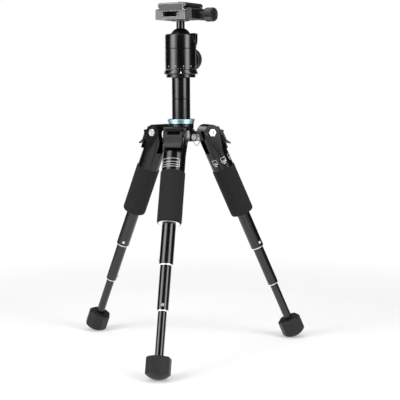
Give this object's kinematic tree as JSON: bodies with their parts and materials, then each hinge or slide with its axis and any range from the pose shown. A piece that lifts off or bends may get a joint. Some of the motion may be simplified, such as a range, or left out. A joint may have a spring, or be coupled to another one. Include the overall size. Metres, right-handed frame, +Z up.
{
  "type": "mini tripod",
  "caption": "Desktop tripod with telescoping push-button legs, foam grips, short column, ball head and dovetail quick-release clamp.",
  "frame": {"origin": "on the floor, at the middle of the box round the footprint; the column axis stands behind it, at +Y", "axes": "+Z up along the column, -Y towards the leg that points forward, +X to the right"},
  "size_m": [0.2878, 0.2529, 0.42],
  "materials": {
    "black_anodised": "gloss black anodised aluminium",
    "black_casting": "black anodised casting, satin gloss",
    "accent_anodised": "blue-green anodised aluminium, polished",
    "bare_aluminium": "bare turned aluminium",
    "bright_steel": "plated steel",
    "spring_steel": "spring steel strip",
    "black_plastic": "moulded black plastic",
    "seat_plastic": "low-friction plastic",
    "foam": "closed-cell foam, matte",
    "foot_rubber": "moulded rubber, matte",
    "pad_rubber": "ribbed rubber sheet",
    "grey_anodised": "dark grey anodised aluminium, satin"
  },
  "bodies": {
    "hub": {"hub": "black_casting", "pivot_bolts": "bright_steel", "pivot_nuts": "bright_steel", "ring_eye": "bright_steel"},
    "strap_ring": {"strap_ring": "bright_steel"},
    "lock_collar": {"lock_collar": "black_anodised", "accent_ring": "accent_anodised"},
    "column": {"column_tube": "black_anodised", "pan_base": "black_anodised"},
    "head": {"head_body": "black_anodised", "slot_liner": "black_plastic"},
    "lock_knob": {"lock_knob": "black_plastic"},
    "ball_seat": {"ball_seat": "seat_plastic"},
    "ball": {"ball_stem": "black_anodised"},
    "clamp": {"clamp_body": "grey_anodised"},
    "clamp_jaw": {"clamp_jaw": "grey_anodised"},
    "clamp_knob": {"clamp_knob": "black_plastic"},
    "plate": {"release_plate": "grey_anodised", "plate_pad": "pad_rubber"},
    "camera_screw": {"camera_screw": "bright_steel"},
    "screw_bail": {"screw_bail": "bright_steel"},
    "leg_front": {"leg_casting_front": "black_casting", "top_tube_front": "black_anodised", "foam_grip_front": "foam", "grip_collar_front": "bare_aluminium"},
    "latch_front": {"leg_latch_front": "black_plastic"},
    "upper_section_front": {"upper_tube_front": "black_anodised"},
    "upper_button_front": {"upper_button_front": "bright_steel"},
    "middle_section_front": {"middle_tube_front": "black_anodised", "upper_clip_front": "spring_steel"},
    "middle_button_front": {"middle_button_front": "bright_steel"},
    "lower_section_front": {"lower_tube_front": "black_anodised", "middle_clip_front": "spring_steel", "foot_front": "foot_rubber"},
    "leg_right": {"leg_casting_right": "black_casting", "top_tube_right": "black_anodised", "foam_grip_right": "foam", "grip_collar_right": "bare_aluminium"},
    "latch_right": {"leg_latch_right": "black_plastic"},
    "upper_section_right": {"upper_tube_right": "black_anodised"},
    "upper_button_right": {"upper_button_right": "bright_steel"},
    "middle_section_right": {"middle_tube_right": "black_anodised", "upper_clip_right": "spring_steel"},
    "middle_button_right": {"middle_button_right": "bright_steel"},
    "lower_section_right": {"lower_tube_right": "black_anodised", "middle_clip_right": "spring_steel", "foot_right": "foot_rubber"},
    "leg_left": {"leg_casting_left": "black_casting", "top_tube_left": "black_anodised", "foam_grip_left": "foam", "grip_collar_left": "bare_aluminium"},
    "latch_left": {"leg_latch_left": "black_plastic"},
    "upper_section_left": {"upper_tube_left": "black_anodised"},
    "upper_button_left": {"upper_button_left": "bright_steel"},
    "middle_section_left": {"middle_tube_left": "black_anodised", "upper_clip_left": "spring_steel"},
    "middle_button_left": {"middle_button_left": "bright_steel"},
    "lower_section_left": {"lower_tube_left": "black_anodised", "middle_clip_left": "spring_steel", "foot_left": "foot_rubber"}
  },
  "joints": [
    {"name": "strap_ring_swing", "type": "hinge", "parent": "hub", "child": "strap_ring", "pos_m": [0.02079, 0.02542, 0.25946], "axis": [-0.5, -0.866, 0], "range_deg": [-40, 90]},
    {"name": "collar_turn", "type": "hinge", "parent": "hub", "child": "lock_collar", "pos_m": [0, 0.03742, 0.26986], "axis": [0, 0, 1], "range_deg": [0, 120]},
    {"name": "column_slide", "type": "slide", "parent": "hub", "child": "column", "axis": [0, 0, 1], "range_m": [-0.045, 0]},
    {"name": "pan_turn", "type": "hinge", "parent": "column", "child": "head", "pos_m": [0, 0.03742, 0.33986], "axis": [0, 0, 1], "continuous": true},
    {"name": "lock_knob_turn", "type": "hinge", "parent": "head", "child": "lock_knob", "pos_m": [0, 0.03742, 0.35226], "axis": [0.1908, 0.9816, 0], "range_deg": [0, 270]},
    {"name": "ball_roll", "type": "hinge", "parent": "head", "child": "ball_seat", "pos_m": [0, 0.03742, 0.37646], "axis": [1, 0, 0], "range_deg": [-30, 30]},
    {"name": "ball_pitch", "type": "hinge", "parent": "ball_seat", "child": "ball", "pos_m": [0, 0.03742, 0.37646], "axis": [0, 1, 0], "range_deg": [-30, 90]},
    {"name": "ball_spin", "type": "hinge", "parent": "ball", "child": "clamp", "pos_m": [0, 0.03742, 0.37646], "axis": [0, 0, 1], "continuous": true},
    {"name": "jaw_slide", "type": "slide", "parent": "clamp", "child": "clamp_jaw", "axis": [0.9336, -0.3584, 0], "range_m": [0, 0.0036]},
    {"name": "clamp_knob_turn", "type": "hinge", "parent": "clamp_jaw", "child": "clamp_knob", "pos_m": [0, 0.03742, 0.40346], "axis": [0.9336, -0.3584, 0], "range_deg": [0, 1008]},
    {"name": "plate_slide", "type": "slide", "parent": "clamp", "child": "plate", "axis": [0.3584, 0.9336, 0], "range_m": [-0.041, 0.041]},
    {"name": "camera_screw_turn", "type": "hinge", "parent": "plate", "child": "camera_screw", "pos_m": [0, 0.03742, 0.41786], "axis": [0, 0, 1], "continuous": true},
    {"name": "screw_bail_flip", "type": "hinge", "parent": "camera_screw", "child": "screw_bail", "pos_m": [0, 0.03742, 0.40496], "axis": [0.3584, 0.9336, 0], "range_deg": [-12, 12]},
    {"name": "leg_spread_front", "type": "hinge", "parent": "hub", "child": "leg_front", "pos_m": [0, 0.00302, 0.26406], "axis": [-1, 0, 0], "range_deg": [-24.4, 55.6]},
    {"name": "latch_open_front", "type": "hinge", "parent": "leg_front", "child": "latch_front", "pos_m": [0, -0.01142, 0.266], "axis": [-1, 0, 0], "range_deg": [0, 25], "stiffness_Nm_per_rad": 0.05, "springref_deg": -17.19},
    {"name": "upper_slide_front", "type": "slide", "parent": "leg_front", "child": "upper_section_front", "axis": [0, -0.4131, -0.9107], "range_m": [-0.0405, 0]},
    {"name": "middle_slide_front", "type": "slide", "parent": "upper_section_front", "child": "middle_section_front", "axis": [0, -0.4131, -0.9107], "range_m": [-0.0435, 0]},
    {"name": "lower_slide_front", "type": "slide", "parent": "middle_section_front", "child": "lower_section_front", "axis": [0, -0.4131, -0.9107], "range_m": [-0.0434, 0]},
    {"name": "upper_button_press_front", "type": "slide", "parent": "upper_section_front", "child": "upper_button_front", "axis": [-0.9848, -0.1581, 0.0717], "range_m": [-0.0008, 0], "stiffness_N_per_m": 300, "springref_m": 0.0006},
    {"name": "middle_button_press_front", "type": "slide", "parent": "middle_section_front", "child": "middle_button_front", "axis": [0.1392, -0.9018, 0.4091], "range_m": [-0.0008, 0], "stiffness_N_per_m": 300, "springref_m": 0.0006},
    {"name": "leg_spread_right", "type": "hinge", "parent": "hub", "child": "leg_right", "pos_m": [0.02979, 0.05462, 0.26406], "axis": [0.5, -0.866, 0], "range_deg": [-24.4, 55.6]},
    {"name": "latch_open_right", "type": "hinge", "parent": "leg_right", "child": "latch_right", "pos_m": [0.0423, 0.06184, 0.266], "axis": [0.5, -0.866, 0], "range_deg": [0, 25], "stiffness_Nm_per_rad": 0.05, "springref_deg": -17.19},
    {"name": "upper_slide_right", "type": "slide", "parent": "leg_right", "child": "upper_section_right", "axis": [0.3578, 0.2066, -0.9107], "range_m": [-0.0405, 0]},
    {"name": "middle_slide_right", "type": "slide", "parent": "upper_section_right", "child": "middle_section_right", "axis": [0.3578, 0.2066, -0.9107], "range_m": [-0.0435, 0]},
    {"name": "lower_slide_right", "type": "slide", "parent": "middle_section_right", "child": "lower_section_right", "axis": [0.3578, 0.2066, -0.9107], "range_m": [-0.0434, 0]},
    {"name": "upper_button_press_right", "type": "slide", "parent": "upper_section_right", "child": "upper_button_right", "axis": [0.698, -0.707, 0.1139], "range_m": [-0.0008, 0], "stiffness_N_per_m": 300, "springref_m": 0.0006},
    {"name": "middle_button_press_right", "type": "slide", "parent": "middle_section_right", "child": "middle_button_right", "axis": [0.6443, 0.6513, 0.4008], "range_m": [-0.0008, 0], "stiffness_N_per_m": 300, "springref_m": 0.0006},
    {"name": "leg_spread_left", "type": "hinge", "parent": "hub", "child": "leg_left", "pos_m": [-0.02979, 0.05462, 0.26406], "axis": [0.5, 0.866, 0], "range_deg": [-24.4, 55.6]},
    {"name": "latch_open_left", "type": "hinge", "parent": "leg_left", "child": "latch_left", "pos_m": [-0.0423, 0.06184, 0.266], "axis": [0.5, 0.866, 0], "range_deg": [0, 25], "stiffness_Nm_per_rad": 0.05, "springref_deg": -17.19},
    {"name": "upper_slide_left", "type": "slide", "parent": "leg_left", "child": "upper_section_left", "axis": [-0.3578, 0.2066, -0.9107], "range_m": [-0.0405, 0]},
    {"name": "middle_slide_left", "type": "slide", "parent": "upper_section_left", "child": "middle_section_left", "axis": [-0.3578, 0.2066, -0.9107], "range_m": [-0.0435, 0]},
    {"name": "lower_slide_left", "type": "slide", "parent": "middle_section_left", "child": "lower_section_left", "axis": [-0.3578, 0.2066, -0.9107], "range_m": [-0.0434, 0]},
    {"name": "upper_button_press_left", "type": "slide", "parent": "upper_section_left", "child": "upper_button_left", "axis": [0.1401, -0.9523, -0.271], "range_m": [-0.0008, 0], "stiffness_N_per_m": 300, "springref_m": 0.0006},
    {"name": "middle_button_press_left", "type": "slide", "parent": "middle_section_left", "child": "middle_button_left", "axis": [0.9276, 0.1911, -0.321], "range_m": [-0.0008, 0], "stiffness_N_per_m": 300, "springref_m": 0.0006}
  ],
  "couplings": [
    {"joint": "jaw_slide", "follows": "clamp_knob_turn", "m_per_rad": 0.00019894}
  ]
}
